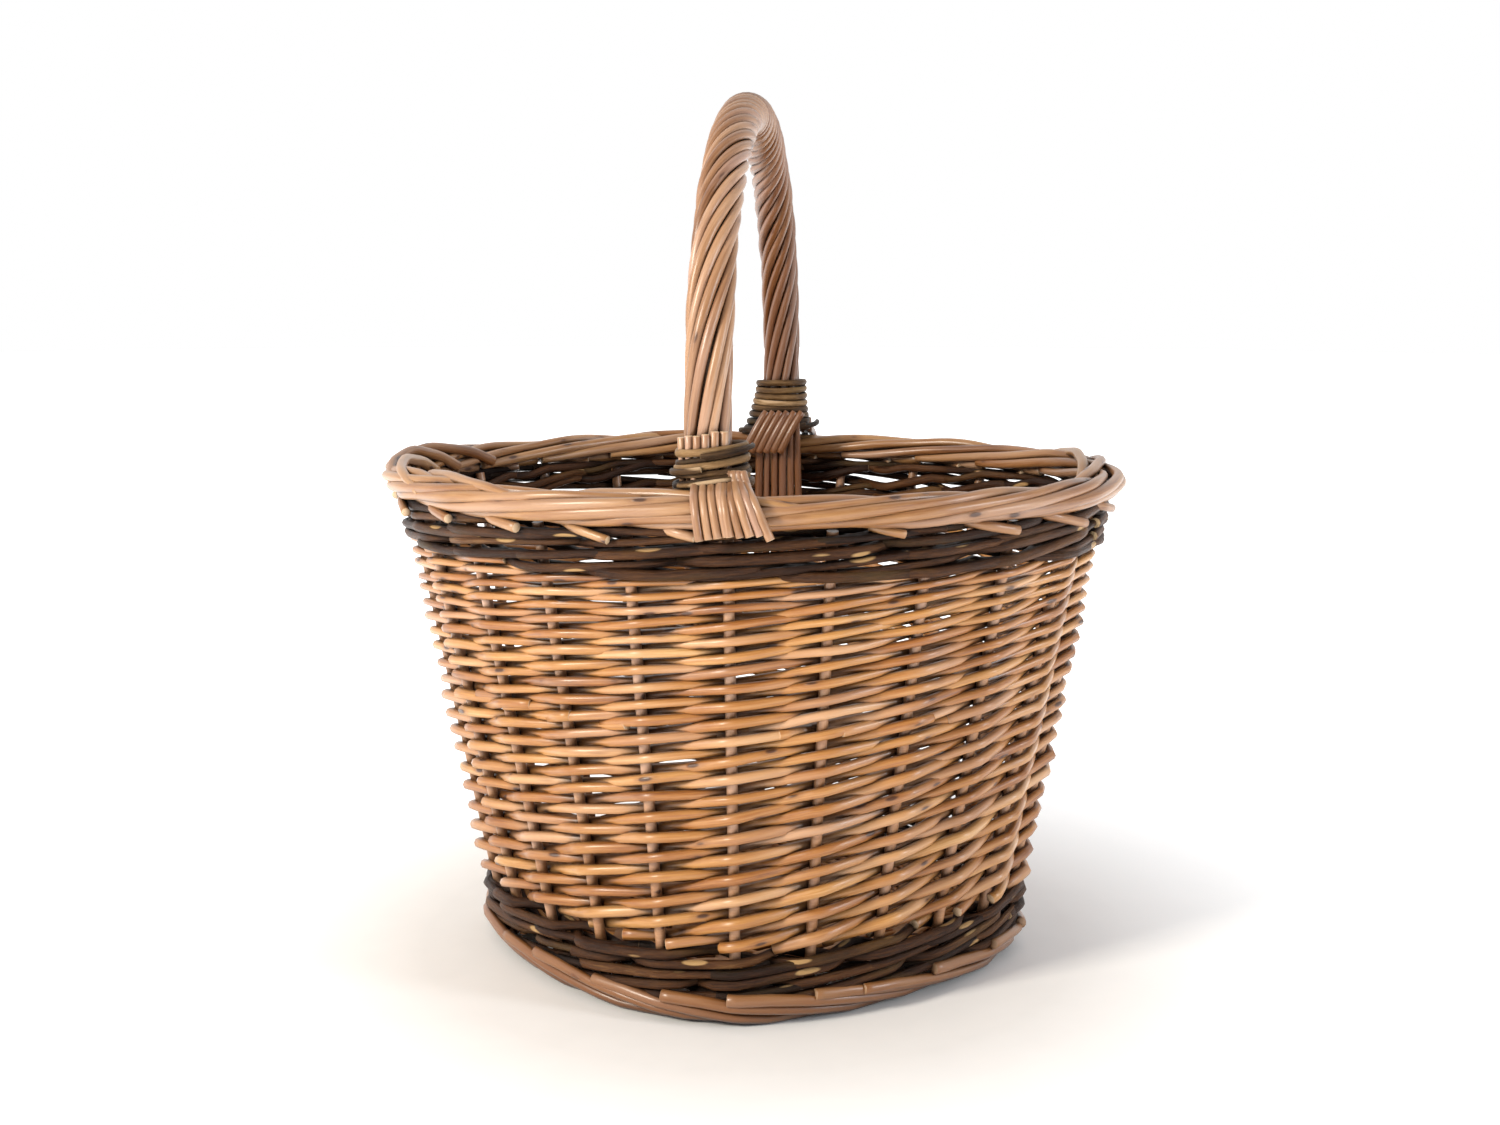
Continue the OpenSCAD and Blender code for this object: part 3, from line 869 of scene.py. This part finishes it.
def studio():
    """White walls on one side of the basket, dimmer ones on the other, and two lamps."""
    world = bpy.data.worlds.new("studio")
    bpy.context.scene.world = world
    world.use_nodes = True
    tree = world.node_tree
    background = tree.nodes["Background"]
    background.inputs["Color"].default_value = (1.0, 1.0, 1.0, 1.0)
    direction = tree.nodes.new("ShaderNodeTexCoord").outputs["Generated"]
    facing = tree.nodes.new("ShaderNodeVectorMath")
    facing.operation = "DOT_PRODUCT"
    tree.links.new(direction, facing.inputs[0])
    facing.inputs[1].default_value = WHITE_SIDE
    dim = map_range(tree, facing.outputs["Value"], -0.6, 0.5, 0.3, 1.0)
    # a low band all round is white too, so that no view shows a grey horizon
    level = tree.nodes.new("ShaderNodeSeparateXYZ")
    tree.links.new(direction, level.inputs[0])
    band = map_range(tree, level.outputs["Z"], 0.07, 0.16, 1.0, 0.0)
    brighter = tree.nodes.new("ShaderNodeMath")
    brighter.operation = "MAXIMUM"
    tree.links.new(dim, brighter.inputs[0])
    tree.links.new(band, brighter.inputs[1])
    tree.links.new(brighter.outputs["Value"], background.inputs["Strength"])
    area_light("key", (-1.35, -1.4, 1.15), (0, 0, 0.2), (0.4, 0.4), 39, (1.0, 0.93, 0.81))
    area_light("cool", (1.6, -0.5, 0.7), (0, 0, 0.2), (0.25, 0.6), 10, (0.92, 0.96, 1.0))
    bpy.context.scene.view_settings.view_transform = "Standard"


def camera():
    """The photograph's view: a little right of the handle's plane, looking down at about 9 degrees."""
    side, distance, height = 0.136, 0.947, 0.3645
    pitch, roll, lens = 0.1625, 0.002, 42.2
    data = bpy.data.cameras.new("camera")
    data.sensor_width = 36
    data.lens = lens
    cam = bpy.data.objects.new("camera", data)
    bpy.context.collection.objects.link(cam)
    ahead = Vector((-math.sin(side) * math.cos(pitch), math.cos(side) * math.cos(pitch), -math.sin(pitch)))
    right = Vector((math.cos(side), math.sin(side), 0))
    up = right.cross(ahead)
    right, up = (right * math.cos(roll) + up * math.sin(roll), up * math.cos(roll) - right * math.sin(roll))
    turn = Matrix((right, up, -ahead)).transposed()
    place = Matrix.Translation((distance * math.sin(side), -distance * math.cos(side), height))
    cam.matrix_world = place @ turn.to_4x4()
    bpy.context.scene.camera = cam


floor()
studio()
camera()
